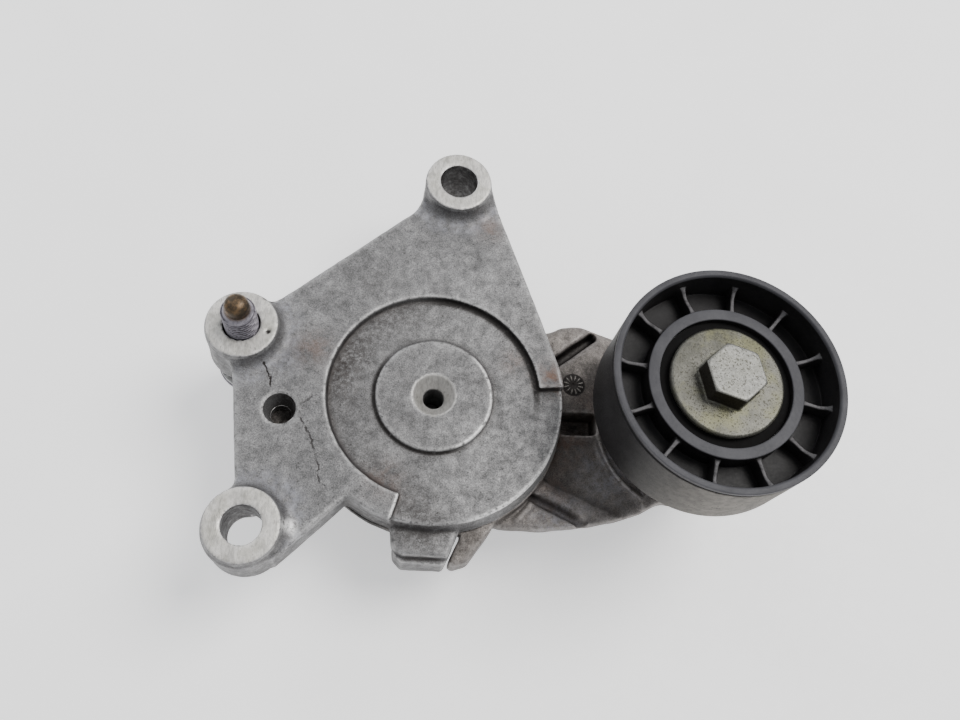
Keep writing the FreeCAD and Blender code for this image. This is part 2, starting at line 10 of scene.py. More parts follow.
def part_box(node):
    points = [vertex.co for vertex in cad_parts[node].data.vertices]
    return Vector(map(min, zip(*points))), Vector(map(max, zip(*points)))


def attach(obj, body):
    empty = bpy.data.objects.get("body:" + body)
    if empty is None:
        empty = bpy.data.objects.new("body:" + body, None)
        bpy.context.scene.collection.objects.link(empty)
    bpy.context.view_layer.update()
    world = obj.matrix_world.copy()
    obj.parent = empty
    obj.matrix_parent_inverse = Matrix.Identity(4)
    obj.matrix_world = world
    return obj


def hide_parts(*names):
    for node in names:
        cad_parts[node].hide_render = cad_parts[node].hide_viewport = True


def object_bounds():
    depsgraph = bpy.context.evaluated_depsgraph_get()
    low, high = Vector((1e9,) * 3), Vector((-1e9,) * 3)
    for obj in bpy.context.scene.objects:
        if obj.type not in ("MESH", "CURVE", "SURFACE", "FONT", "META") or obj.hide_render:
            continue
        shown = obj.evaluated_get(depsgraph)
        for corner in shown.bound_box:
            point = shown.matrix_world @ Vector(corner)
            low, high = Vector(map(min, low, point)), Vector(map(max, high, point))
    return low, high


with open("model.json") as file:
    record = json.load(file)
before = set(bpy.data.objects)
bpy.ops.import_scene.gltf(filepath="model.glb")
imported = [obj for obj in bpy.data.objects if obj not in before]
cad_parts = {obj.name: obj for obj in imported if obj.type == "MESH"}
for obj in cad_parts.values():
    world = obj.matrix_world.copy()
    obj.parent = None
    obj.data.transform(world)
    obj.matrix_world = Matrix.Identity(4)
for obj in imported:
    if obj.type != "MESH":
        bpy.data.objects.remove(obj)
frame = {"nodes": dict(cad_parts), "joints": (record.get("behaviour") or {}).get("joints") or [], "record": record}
CAD_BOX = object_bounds()

# ---- Places, worked out from the imported frame or given as numbers (metres) -----------------
MM = 0.001
NODES = frame["nodes"]
MOUNTS = {mount["name"]: Vector(mount["pos_m"]) for mount in frame["record"]["mounts"]}
JOINTS = {joint["name"]: joint for joint in frame["joints"]}
PULLEY_AXIS = Vector(JOINTS["pulley_spin"]["pos_m"])
BOLT_AXIS = Vector(JOINTS["mounting_bolt_turn"]["pos_m"])
LOCK_AXIS = MOUNTS["lock_pin_hole"]
BOSS_AXES = (MOUNTS["top_boss_bore"], MOUNTS["lower_boss_bore"], BOLT_AXIS)
BOSS_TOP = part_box("base_bracket")[1].z
PLATE_TOP = BOSS_TOP - 5 * MM          # raised plate
DISC_TOP = BOSS_TOP - 7 * MM           # round face over the spring
PIVOT = (0.0, 0.0)
TOP_HOLE, BOSS_HOLE = 6.0 * MM, 5.5 * MM            # radii of the holes in the bosses
PIVOT_HOLE, COUNTERSINK = 3.1 * MM, 6.7 * MM        # radii in the middle of the disc
LOCK_PIN, LOCK_MOUTH = 3.05 * MM, 4.7 * MM          # radii of the stepped lock hole
LOCK_STEP = 4.0 * MM                   # height of its step
LEVER_TOP = -2.5 * MM                  # arm's upper face, below the joint plane
FLOOR_Z = min(corner[2] for corner in CAD_BOX)


# ---- Small helpers for meshes ----------------------------------------------------------------
def new_object(name, mesh):
    piece = bpy.data.objects.new(name, mesh)
    bpy.context.scene.collection.objects.link(piece)
    return piece


def from_points(name, points, faces):
    """A smooth-shaded object from points in metres."""
    mesh = bpy.data.meshes.new(name)
    mesh.from_pydata([tuple(p) for p in points], [], faces)
    mesh.update()
    mesh.shade_smooth()
    return new_object(name, mesh)


def copy_of(node, name):
    """A new piece that starts out as a CAD node's mesh."""
    mesh = NODES[node].data.copy()
    mesh.materials.clear()
    return new_object(name, mesh)


def with_modifiers_applied(piece):
    graph = bpy.context.evaluated_depsgraph_get()
    mesh = bpy.data.meshes.new_from_object(piece.evaluated_get(graph))
    piece.modifiers.clear()
    piece.data = mesh
    return piece


def remeshed(piece, voxel):
    """Even small faces all over, which can be smoothed and carry masks."""
    modifier = piece.modifiers.new("voxels", "REMESH")
    modifier.mode = "VOXEL"
    modifier.voxel_size = voxel
    with_modifiers_applied(piece)
    piece.data.shade_smooth()
    return piece


class Surface:
    """The points of a mesh with their neighbours, for smoothing, wear masks and small waves."""

    def __init__(self, piece):
        self.mesh = piece.data
        self.count = len(self.mesh.vertices)
        self.at = np.empty(self.count * 3)
        self.mesh.vertices.foreach_get("co", self.at)
        self.at = self.at.reshape(-1, 3)
        edges = np.empty(len(self.mesh.edges) * 2, np.int32)
        self.mesh.edges.foreach_get("vertices", edges)
        self.start, self.end = edges.reshape(-1, 2).T
        self.degree = np.maximum(np.bincount(edges, minlength=self.count), 1)

    def around(self, values):
        """Mean of each point's neighbours."""
        columns = values.reshape(self.count, -1).T
        sums = [np.bincount(self.start, column[self.end], self.count)
                + np.bincount(self.end, column[self.start], self.count) for column in columns]
        return (np.array(sums) / self.degree).T.reshape(values.shape)

    def spread(self, values, rounds):
        for _ in range(rounds):
            values = 0.5 * values + 0.5 * self.around(values)
        return values

    def soften(self, weight, rounds):
        """Round the edges where the weight is 1 and leave them crisp where it is 0."""
        for _ in range(rounds):
            self.at += 0.5 * weight[:, None] * (self.around(self.at) - self.at)

    def write(self):
        self.mesh.vertices.foreach_set("co", self.at.ravel())
        self.mesh.update()

    def normals(self):
        self.write()
        normals = np.empty(self.count * 3, np.float32)
        self.mesh.vertex_normals.foreach_get("vector", normals)
        return normals.reshape(-1, 3)

    def wave(self, size, height, weight):
        """Push points along their normals by smooth noise."""
        lift = np.array([noise.noise(Vector(p)) for p in self.at / size])
        self.at += self.normals() * (lift * height * weight)[:, None]

    def bend(self):
        """How far each point stands out of its neighbours, in metres."""
        return np.einsum("ij,ij->i", self.at - self.around(self.at), self.normals())

    def distance(self, axis):
        """Distance from an upright axis."""
        return np.hypot(self.at[:, 0] - axis[0], self.at[:, 1] - axis[1])

    def true_bore(self, axis, radius, low, high):
        """Bring the wall of an upright round hole back to its exact radius after the remesh."""
        away = self.distance(axis)
        wall = (np.abs(away - radius) < 0.3 * MM) & (self.at[:, 2] > low) & (self.at[:, 2] < high)
        self.scale_about(axis, wall, radius / away[wall])

    def scale_about(self, axis, chosen, scale):
        """Move the chosen points in or out from an upright axis."""
        for i in (0, 1):
            self.at[chosen, i] = axis[i] + (self.at[chosen, i] - axis[i]) * scale

    def beside(self, degrees):
        """Distance in plan, in millimetres, from the line through the pivot in a direction."""
        turn = math.radians(degrees)
        return (self.at[:, 1] * math.cos(turn) - self.at[:, 0] * math.sin(turn)) / MM

    def spot(self, x, y, size):
        """A soft round mask about a place in plan, in millimetres."""
        away = np.hypot(self.at[:, 0] / MM - x, self.at[:, 1] / MM - y)
        return np.exp(-(away / size) ** 2)

    def spots(self, marks):
        """Several soft spots, each given as x, y, size and strength."""
        return sum(strength * self.spot(x, y, size) for x, y, size, strength in marks)

    def arc(self, radius, width, middle, reach):
        """A soft curved line about the pivot, in millimetres, up to so many degrees either side."""
        away = (self.distance(PIVOT) / MM - radius) / width
        turn = np.degrees(np.arctan2(self.at[:, 1], self.at[:, 0])) - middle
        turn = np.abs((turn + 180) % 360 - 180)
        return np.clip(1.8 * np.exp(-away ** 2), 0, 1) * np.clip((reach - turn) / 20, 0, 1)

    def store(self, name, values):
        layer = self.mesh.attributes.new(name, "FLOAT", "POINT")
        layer.data.foreach_set("value", values.astype(np.float32))

    def store_wear(self, step, worn=0.0, dirt_and_shade=1.0):
        """Masks of worn edges, with any painted highlights passed in as worn, and of hollows darkened as dirt and
        painted shade, for faces about one step wide.
        """
        bend = self.bend() / step
        self.store("edge", np.clip(self.spread(np.maximum(bend, 0), 1) * 5.0 + worn, 0, 1))
        # the cavity mask darkens hollows as dirt and as painted shade; the wide spread stands in for shade in
        # broad hollows
        near = self.spread(np.maximum(-bend, 0), 3) * 5.0
        wide = self.spread(np.maximum(-bend, 0), 30) * 12.0
        self.store("cavity", np.clip((near + wide) * dirt_and_shade, 0, 1))


def softened(outline, radius, steps=4):
    """A closed outline with its corners rounded."""
    points = []
    for i, corner in enumerate(outline):
        corner = Vector(corner)
        before, after = Vector(outline[i - 1]) - corner, Vector(outline[(i + 1) % len(outline)]) - corner
        reach = min(radius, before.length * 0.45, after.length * 0.45)
        first, last = corner + before.normalized() * reach, corner + after.normalized() * reach
        for k in range(steps + 1):
            t = k / steps
            points.append(first * (1 - t) ** 2 + corner * 2 * t * (1 - t) + last * t ** 2)
    return points


def lathe(name, outline, axis, segments=192):
    """A closed outline of (radius, height) in millimetres, turned about an upright axis."""
    rows = len(outline)
    points = []
    for i in range(segments):
        angle = 2 * math.pi * i / segments
        for r, z in outline:
            points.append((axis[0] + r * MM * math.cos(angle), axis[1] + r * MM * math.sin(angle), z * MM))
    faces = []
    for i in range(segments):
        here, there = i * rows, (i + 1) % segments * rows
        for j in range(rows):
            k = (j + 1) % rows
            faces.append((here + j, there + j, there + k, here + k))
    return from_points(name, points, faces)


def joined(pieces, name):
    bpy.ops.object.select_all(action="DESELECT")
    for piece in pieces:
        piece.select_set(True)
    bpy.context.view_layer.objects.active = pieces[0]
    bpy.ops.object.join()
    pieces[0].name = name
    bpy.ops.object.select_all(action="DESELECT")
    return pieces[0]


def facing_out(piece):
    mesh = bmesh.new()
    mesh.from_mesh(piece.data)
    bmesh.ops.recalc_face_normals(mesh, faces=mesh.faces)
    mesh.to_mesh(piece.data)
    mesh.free()
    return piece


# ---- Materials -------------------------------------------------------------------------------
MIX_A, MIX_B, MIX_RESULT = 6, 7, 2      # the Mix node's sockets for colours
LINE_WANDER, WANDER_SCALE = 2.2, 0.55   # how far a crack strays in millimetres, and how often


class Paint:
    """A node material. Each call adds a node and gives back its output."""

    def __init__(self, name, metallic=0.0):
        self.material = bpy.data.materials.new(name)
        self.material.use_nodes = True
        self.tree = self.material.node_tree
        self.shader = self.tree.nodes["Principled BSDF"]
        self.shader.inputs["Metallic"].default_value = metallic
        place = self.add("ShaderNodeTexCoord").outputs["Object"]
        self.place = self.vector("SCALE", place, Scale=1 / MM)      # millimetres

    def add(self, kind, **settings):
        node = self.tree.nodes.new(kind)
        for key, value in settings.items():
            setattr(node, key, value)
        return node

    def feed(self, socket, value):
        if isinstance(value, bpy.types.NodeSocket):
            self.tree.links.new(value, socket)
        else:
            socket.default_value = value

    def vector(self, operation, a, b=None, **named):
        node = self.add("ShaderNodeVectorMath", operation=operation)
        self.feed(node.inputs[0], a)
        if b is not None:
            self.feed(node.inputs[1], b)
        for key, value in named.items():
            self.feed(node.inputs[key], value)
        return node.outputs["Value" if operation in ("LENGTH", "DOT_PRODUCT") else "Vector"]

    def math(self, operation, a, b=0.0, clamp=False):
        node = self.add("ShaderNodeMath", operation=operation, use_clamp=clamp)
        self.feed(node.inputs[0], a)
        self.feed(node.inputs[1], b)
        return node.outputs[0]

    def product(self, a, b):
        return self.math("MULTIPLY", a, b)

    def noise(self, size, detail=4.0, roughness=0.6, stretch=None):
        """Noise with features about a size in millimetres across."""
        place = self.place if stretch is None else self.vector("MULTIPLY", self.place, stretch)
        node = self.add("ShaderNodeTexNoise")
        self.feed(node.inputs["Vector"], place)
        node.inputs["Scale"].default_value = 1 / size
        node.inputs["Detail"].default_value = detail
        node.inputs["Roughness"].default_value = roughness
        return node.outputs["Fac"]

    def attribute(self, name):
        return self.add("ShaderNodeAttribute", attribute_name=name).outputs["Fac"]

    def remap(self, value, low, high, to_low=0.0, to_high=1.0):
        node = self.add("ShaderNodeMapRange", interpolation_type="SMOOTHSTEP")
        self.feed(node.inputs["Value"], value)
        for key, number in (("From Min", low), ("From Max", high), ("To Min", to_low), ("To Max", to_high)):
            node.inputs[key].default_value = number
        return node.outputs["Result"]

    def mix(self, share, a, b):
        """A colour that goes from a to b as the share goes from 0 to 1."""
        node = self.add("ShaderNodeMix", data_type="RGBA")
        self.feed(node.inputs["Factor"], share)
        for key, value in ((MIX_A, a), (MIX_B, b)):
            self.feed(node.inputs[key], value if isinstance(value, bpy.types.NodeSocket) else (*value, 1.0))
        return node.outputs[MIX_RESULT]

    def times(self, color, value):
        """A colour darkened or lightened by a number."""
        return self.vector("SCALE", color, Scale=value)

    def line(self, path):
        """Distance in plan, in millimetres, from a chain of points, with the line wandering a little."""
        wander = self.add("ShaderNodeTexNoise")
        self.feed(wander.inputs["Vector"], self.place)
        wander.inputs["Scale"].default_value = WANDER_SCALE
        shift = self.vector("SUBTRACT", wander.outputs["Color"], (0.5, 0.5, 0.5))
        shift = self.vector("SCALE", shift, Scale=LINE_WANDER)
        flat = self.vector("MULTIPLY", self.vector("ADD", self.place, shift), (1, 1, 0))
        nearest = None
        for (ax, ay), (bx, by) in zip(path, path[1:]):
            along = Vector((bx - ax, by - ay, 0))
            offset = self.vector("SUBTRACT", flat, (ax, ay, 0))
            share = self.vector("DOT_PRODUCT", offset, along)
            share = self.math("DIVIDE", share, along.length_squared, clamp=True)
            foot = self.vector("SCALE", along, Scale=share)
            away = self.vector("LENGTH", self.vector("SUBTRACT", offset, foot))
            nearest = away if nearest is None else self.math("MINIMUM", nearest, away)
        return nearest

    def bump(self, height, depth, under=None):
        """Relief a number of millimetres deep."""
        node = self.add("ShaderNodeBump")
        node.inputs["Strength"].default_value = 1.0
        node.inputs["Distance"].default_value = depth * MM
        self.feed(node.inputs["Height"], height)
        if under is not None:
            self.feed(node.inputs["Normal"], under)
        return node.outputs["Normal"]

    def finish(self, color, roughness, normal=None):
        self.feed(self.shader.inputs["Base Color"], color)
        self.feed(self.shader.inputs["Roughness"], roughness)
        if normal is not None:
            self.feed(self.shader.inputs["Normal"], normal)
        return self.material


def cracked(paint, color, relief, lines):
    """Thin dark broken lines along chains of points, each with its strength."""
    for path, strength in lines:
        crack = paint.remap(paint.line(path), 0.12, 0.42, strength, 0.0)
        crack = paint.product(crack, paint.remap(paint.noise(2.4, 3), 0.34, 0.52))
        color = paint.mix(crack, color, (0.012, 0.009, 0.008))
        relief = paint.math("SUBTRACT", relief, paint.product(crack, 1.5))
    return color, relief


def machined_color(paint):
    """Pale faced aluminium with scuffs and brown stains."""
    scuffs = paint.noise(0.9, 5, 0.7, stretch=(1, 0.35, 0.2))
    tone = paint.remap(paint.noise(5.0, 3), 0.4, 0.7)
    color = paint.mix(tone, (0.64, 0.62, 0.585), (0.48, 0.465, 0.42))
    color = paint.times(color, paint.remap(scuffs, 0.3, 0.7, 0.66, 1.22))
    stains = paint.product(paint.remap(scuffs, 0.56, 0.68), 0.6)
    return paint.mix(stains, color, (0.10, 0.09, 0.08))


def cast_metal(name, light, dark, dirt_and_shade, edge_color, lines=()):
    """Grainy die-cast aluminium with pits, dirt and painted shade in its hollows, painted sheen, bright worn edges
    with painted highlights, black painted shade lines and machined pads.
    """
    paint = Paint(name, metallic=0.5)
    broad = paint.noise(26.0, 5, 0.6)
    mottle = paint.noise(3.6, 6, 0.70)
    grain = paint.noise(0.34, 3, 0.6)
    pits = paint.remap(paint.noise(0.6, 2, 0.5), 0.65, 0.73)
    color = paint.mix(paint.remap(broad, 0.35, 0.65), dark, light)
    color = paint.times(color, paint.remap(mottle, 0.3, 0.7, 0.70, 1.23))
    color = paint.times(color, paint.remap(grain, 0.3, 0.7, 0.58, 1.36))
    color = paint.mix(paint.product(pits, 0.55), color, dirt_and_shade)
    cloud = paint.remap(paint.noise(2.6, 6, 0.75), 0.36, 0.66)
    # painted sheen: a pale bluish tint where light glances off the bosses' flares and on the arm's shadowed field
    painted_sheen = paint.product(paint.attribute("painted_sheen"), cloud)
    color = paint.mix(paint.product(painted_sheen, 0.55), color, (0.34, 0.345, 0.385))
    # dirt and painted shade in the hollows
    hollow_dirt_and_shade = paint.product(paint.attribute("cavity"), paint.remap(mottle, 0.25, 0.6, 0.45, 1.0))
    color = paint.mix(hollow_dirt_and_shade, color, dirt_and_shade)
    # dirt together with painted shade in holes, on walls, under overhangs and under the lock hole
    grime_and_shade_noise = paint.remap(paint.noise(1.6, 6, 0.75), 0.3, 0.62)
    color = paint.mix(paint.product(paint.attribute("grime_and_shade"), grime_and_shade_noise), color, dirt_and_shade)
    rusty = paint.product(paint.attribute("rust"), paint.remap(mottle, 0.35, 0.6))
    color = paint.mix(rusty, color, (0.105, 0.052, 0.030))
    # worn edges, together with painted highlights where the mask carries them
    worn = paint.product(paint.attribute("edge"), paint.remap(paint.noise(1.3, 4, 0.7), 0.32, 0.55))
    color = paint.mix(worn, color, edge_color)
    relief = paint.math("ADD", paint.product(mottle, 1.6), paint.product(grain, 0.8))
    relief = paint.math("SUBTRACT", relief, paint.product(pits, 0.8))
    color, relief = cracked(paint, color, relief, lines)
    pad = paint.attribute("machined")
    turning = paint.math("SINE", paint.product(paint.attribute("turning"), 14.0))
    color = paint.mix(pad, color, machined_color(paint))
    breaks = paint.remap(paint.noise(1.1, 4, 0.7), 0.22, 0.5, 0.45, 1.0)
    # painted shade: near black in creases, gaps and the arm's groove
    black = paint.product(paint.attribute("black"), breaks)
    color = paint.mix(black, color, (0.010, 0.008, 0.007))
    roughness = paint.remap(mottle, 0.3, 0.7, 0.64, 0.44)
    roughness = paint.math("SUBTRACT", roughness, paint.product(pad, 0.10))
    as_cast = paint.math("SUBTRACT", 1.0, paint.product(pad, 0.85))
    rough_skin = paint.product(relief, as_cast)
    normal = paint.bump(rough_skin, 0.075)
    normal = paint.bump(paint.product(turning, pad), 0.006, normal)
    return paint.finish(color, roughness, normal)


def moulded_plastic():
    """Satin black plastic with painted highlights on the rib edges, painted sheen on the front faces, scuffs, and
    road dust on the belt track that is also painted light on one side.
    """
    paint = Paint("moulded_black_plastic")
    paint.shader.inputs["Specular IOR Level"].default_value = 0.14
    cloud = paint.noise(9.0, 5, 0.6)
    fine = paint.noise(0.45, 4, 0.65)
    color = paint.mix(paint.remap(cloud, 0.35, 0.7), (0.0045, 0.0042, 0.0050), (0.010, 0.0092, 0.0105))
    # painted sheen: the front faces of the hub ring and rim lighter than the near-black rest
    front = paint.mix(paint.remap(cloud, 0.35, 0.7), (0.044, 0.044, 0.050), (0.062, 0.062, 0.069))
    color = paint.mix(paint.attribute("front"), color, front)
    patches = paint.remap(paint.noise(2.6, 6, 0.62), 0.34, 0.62, 0.64, 1.0)
    # road dust on the tread, heavier on one side, where it also stands in for painted light
    dust_and_light = paint.product(paint.attribute("dust_and_light"), patches)
    color = paint.mix(dust_and_light, color, (0.25, 0.235, 0.212))
    specks = paint.remap(paint.noise(0.9, 3, 0.6), 0.60, 0.70)
    color = paint.mix(paint.product(specks, paint.attribute("dust_and_light")), color, (0.02, 0.018, 0.016))
    # painted highlights on the rib tops and the rim's front edge
    highlight_breaks = paint.remap(paint.noise(2.0, 4, 0.7), 0.3, 0.6, 0.35, 1.0)
    color = paint.mix(paint.product(paint.attribute("edge"), highlight_breaks), color, (0.15, 0.145, 0.15))
    scuffs = paint.remap(paint.noise(1.4, 6, 0.8, stretch=(1, 0.25, 1)), 0.60, 0.78)
    color = paint.mix(paint.product(scuffs, 0.30), color, (0.045, 0.044, 0.047))
    roughness = paint.remap(fine, 0.3, 0.7, 0.40, 0.54)
    roughness = paint.math("ADD", roughness, paint.product(dust_and_light, 0.35))
    normal = paint.bump(paint.math("ADD", fine, paint.product(cloud, 2.0)), 0.014)
    return paint.finish(color, roughness, normal)


def zinc(name, light, dark, tint):
    """Dulled zinc plating with a faint tint, cloudy patches and fine dark specks."""
    paint = Paint(name, metallic=0.65)
    cloud = paint.noise(6.0, 5, 0.65)
    fine = paint.noise(0.7, 5, 0.7)
    color = paint.mix(paint.remap(cloud, 0.35, 0.65), dark, light)
    color = paint.mix(paint.remap(paint.noise(9.0, 4, 0.6), 0.45, 0.7), color, tint)
    color = paint.times(color, paint.remap(fine, 0.3, 0.7, 0.55, 1.45))
    color = paint.mix(paint.product(paint.attribute("bare"), 0.8), color, (0.145, 0.145, 0.136))
    specks = paint.remap(paint.noise(0.55, 2, 0.5), 0.58, 0.68)
    color = paint.mix(paint.product(specks, 0.75), color, (0.035, 0.032, 0.02))
    worn = paint.product(paint.attribute("edge"), 0.35)
    color = paint.mix(worn, color, (0.55, 0.54, 0.50))
    # painted shade on the hexagon's sides
    soiled_and_shaded = paint.product(paint.attribute("grime_and_shade"), paint.remap(fine, 0.2, 0.6, 0.7, 1.0))
    color = paint.mix(soiled_and_shaded, color, (0.020, 0.014, 0.011))
    roughness = paint.remap(fine, 0.3, 0.7, 0.36, 0.52)
    normal = paint.bump(paint.math("SUBTRACT", fine, specks), 0.022)
    return paint.finish(color, roughness, normal)


def threaded_steel():
    """Grey plated thread whose bare pilot tip has gone rusty brown."""
    paint = Paint("rusty_threaded_steel", metallic=0.7)
    fine = paint.noise(0.8, 5, 0.7)
    color = paint.mix(paint.remap(fine, 0.35, 0.65), (0.19, 0.18, 0.205), (0.33, 0.31, 0.345))
    rust = paint.remap(paint.noise(2.2, 5, 0.7), 0.4, 0.65)
    rust = paint.mix(rust, (0.050, 0.037, 0.024), (0.15, 0.095, 0.05))
    color = paint.mix(paint.attribute("rust"), color, rust)
    # painted shade in the thread's roots and below the seat
    color = paint.mix(paint.attribute("grime_and_shade"), color, (0.022, 0.019, 0.021))
    normal = paint.bump(fine, 0.02)
    return paint.finish(color, paint.remap(fine, 0.3, 0.7, 0.36, 0.52), normal)


def plain_metal(name, light, dark, size=1.5):
    """Brushed or drawn steel for small and inner parts."""
    paint = Paint(name, metallic=0.9)
    fine = paint.noise(size, 6, 0.7, stretch=(1, 1, 6))
    color = paint.mix(paint.remap(fine, 0.35, 0.65), dark, light)
    spots = paint.remap(paint.noise(size * 3, 4, 0.7), 0.6, 0.75)
    color = paint.mix(paint.product(spots, 0.5), color, (0.16, 0.12, 0.08))
    return paint.finish(color, paint.remap(fine, 0.3, 0.7, 0.28, 0.44), paint.bump(fine, 0.008))


def plain_polymer(name, light, dark, rough=0.55, size=1.2, gloss=0.5):
    """Moulded plastic or rubber for small and inner parts."""
    paint = Paint(name)
    paint.shader.inputs["Specular IOR Level"].default_value = gloss
    fine = paint.noise(size, 5, 0.65)
    color = paint.mix(paint.remap(fine, 0.3, 0.7), dark, light)
    return paint.finish(color, paint.remap(fine, 0.3, 0.7, rough, rough + 0.14), paint.bump(fine, 0.01))


def floor_paint():
    """Plain pale bench top with a faint glow of its own, so that it stays near white."""
    paint = Paint("pale_floor")
    cloud = paint.noise(60.0, 4, 0.5)
    color = paint.mix(paint.remap(cloud, 0.3, 0.7), (0.85, 0.845, 0.835), (0.89, 0.885, 0.88))
    paint.shader.inputs["Emission Color"].default_value = (0.98, 0.985, 1.0, 1.0)
    paint.shader.inputs["Emission Strength"].default_value = 0.65
    return paint.finish(color, paint.remap(paint.noise(4.0, 4), 0.3, 0.7, 0.55, 0.7))


# ---- Castings --------------------------------------------------------------------------------
BRACKET_VOXEL, ARM_VOXEL = 0.38 * MM, 0.45 * MM
# radii about the pivot in millimetres: hub, wall of the plate's recess, rim of the disc
HUB_TOP_R, HUB_FOOT_R, RECESS_R, DISC_R = 17.05, 17.9, 30.9, 38.5
SPRING_HOUSING, SPRING_CUP = 36 * MM, 32 * MM       # radii inside which the edges stay crisp
PLATE_START, PLATE_END = 252.8, 5.9     # directions in which the raised plate ends, in degrees
GAP_TURN, GAP_REACH = 240, 24           # middle and half length of the painted shade in the gap under the disc
GROOVE = ((37.0, 15.3), (52.6, 27.2))   # ends of the groove in the arm's upper face, in millimetres
DIAL_AT = (44.8 * MM, 9.6 * MM)         # centre of the generic dial on the arm's platform
# cracks and marks in the plate, in millimetres, each with how dark it is
PLATE_LINES = (
    (((-50.0, 7.1), (-48.2, 4.0), (-46.9, -0.9)), 1.0),
    (((-38.5, -5.1), (-35.4, -2.0)), 0.5),
    (((-38.7, -7.4), (-36.5, -11.9), (-35.1, -15.1), (-32.4, -22.6), (-31.8, -27.2), (-29.4, -29.6)),
     0.8),
)
# small dents in the plate and in the bolt boss: place and size in millimetres
NICKS = ((-49.0, 15.1, 0.75), (-50.6, 26.2, 0.9), (-49.9, 27.0, 0.8))
# soft marks: x, y and size in millimetres, then strength
BRACKET_STAINS = ((-39, 12, 6, 0.45), (-5, -33, 6, 0.4), (-1, -42, 8, 0.62), (-20, 34, 7, 0.3),
                  (30, 25, 8, 0.25))
DISC_STAINS = ((-27, 8, 15, 1.0), (-10, 25, 10, 0.55), (-16, -22, 9, 0.5))
# painted sheen patches on the bracket
BRACKET_SHEENS = ((-44, 8, 5, 0.7), (-41, -32, 4, 0.9))
BRACKET_RUST = ((35.5, 6.5, 4.5, 0.9), (17, 57, 4, 0.5), (24, 12, 4, 0.35), (-36, 13, 5, 0.5),
                (-14, -26, 5, 0.35))
LEVER_STAINS = ((46, -3, 5, 0.9), (45, 13, 10, 0.6))
ARM_STAINS = ((-17, -37, 8, 0.7), (10, -43, 7, 0.55))
# painted sheen patches that lighten the arm's shadowed field
ARM_SHEENS = ((57, -17, 11, 1.0), (38, -33, 8, 1.0))
ARM_RUST = ((41, -10, 7, 0.6), (50, 3, 6, 0.3), (38, -24, 5, 0.4))


def flare_lock_hole(surface):
    """Lean the wall of the lock hole's wide upper part outwards, down to its narrow part."""
    away, height = surface.distance(LOCK_AXIS), surface.at[:, 2]
    part = (away > LOCK_PIN - 0.2 * MM) & (away < LOCK_MOUTH + 0.3 * MM)
    part &= (height > LOCK_STEP - 0.3 * MM) & (height < PLATE_TOP - 0.3 * MM)
    up_wall = 0.2 + 0.8 * (height - LOCK_STEP) / (PLATE_TOP - LOCK_STEP)
    on_step = 0.2 * (away - LOCK_PIN) / (LOCK_MOUTH - LOCK_PIN)
    share = np.clip(np.where(away > LOCK_MOUTH - 0.35 * MM, up_wall, on_step), 0, 1)[part]
    surface.scale_about(LOCK_AXIS, part, (LOCK_PIN + 1.75 * MM * share) / away[part])
    low = LOCK_STEP - 0.6 * MM
    surface.at[part, 2] = low + (PLATE_TOP - low) * share


def shape_bracket(surface, from_boss, from_pivot):
    """Round the as-cast edges, keep the machined ones crisp and bring the holes back to size."""
    height = surface.at[:, 2]
    crisp = (from_boss < 13 * MM) & (height > BOSS_TOP - 1.2 * MM)
    crisp |= from_boss < TOP_HOLE + 0.6 * MM
    crisp |= surface.distance(LOCK_AXIS) < LOCK_MOUTH + 0.9 * MM
    crisp |= (from_pivot < COUNTERSINK + 0.2 * MM) & (height > 2 * MM)
    crisp |= (from_pivot < SPRING_HOUSING) & (height < 4 * MM)
    cast = surface.spread(np.where(crisp, 0.0, 1.0), 2)
    surface.soften(np.maximum(cast, 0.5), 3)
    surface.soften(cast, 2)
    surface.wave(7 * MM, 0.14 * MM, cast)
    surface.wave(1.9 * MM, 0.05 * MM, cast)
    for axis, radius, low in zip(BOSS_AXES, (TOP_HOLE, BOSS_HOLE, BOSS_HOLE), (-6 * MM, 0.0, 0.0)):
        surface.true_bore(axis, radius, low, BOSS_TOP + 1 * MM)
    flare_lock_hole(surface)
    surface.true_bore(PIVOT, PIVOT_HOLE, -8 * MM, 5.0 * MM)
    for x, y, size in NICKS:
        dent = surface.spot(x, y, size) * (surface.normals()[:, 2] > 0.6)
        surface.at[:, 2] -= 0.45 * MM * dent
    surface.write()


def wear_and_highlight_bracket(surface, from_pivot, raised):
    """Worn edges, with painted highlights along the lit edges of hub, disc and plate, and a painted bright patch
    beside the lower boss.
    """
    height = surface.at[:, 2]
    # painted highlights: bright lines where light catches the right-hand edges of the hub and disc and the plate's
    # end
    hub_highlight = 1.4 * surface.arc(HUB_TOP_R, 0.25, -12, 62) * (height > DISC_TOP + 0.5 * MM)
    disc_rim_highlight = 1.4 * surface.arc(DISC_R, 0.35, -32, 48) * (height > DISC_TOP - 1.0 * MM)
    plate_end_highlight = 1.3 * np.exp(-(surface.beside(PLATE_START) / 0.4) ** 2)
    plate_end_highlight *= (surface.at[:, 1] < 0) & raised & (from_pivot > 31 * MM)
    boss_highlight = 1.2 * surface.spot(-39.0, -40.5, 1.8)
    surface.store_wear(BRACKET_VOXEL, hub_highlight + disc_rim_highlight + plate_end_highlight + boss_highlight)


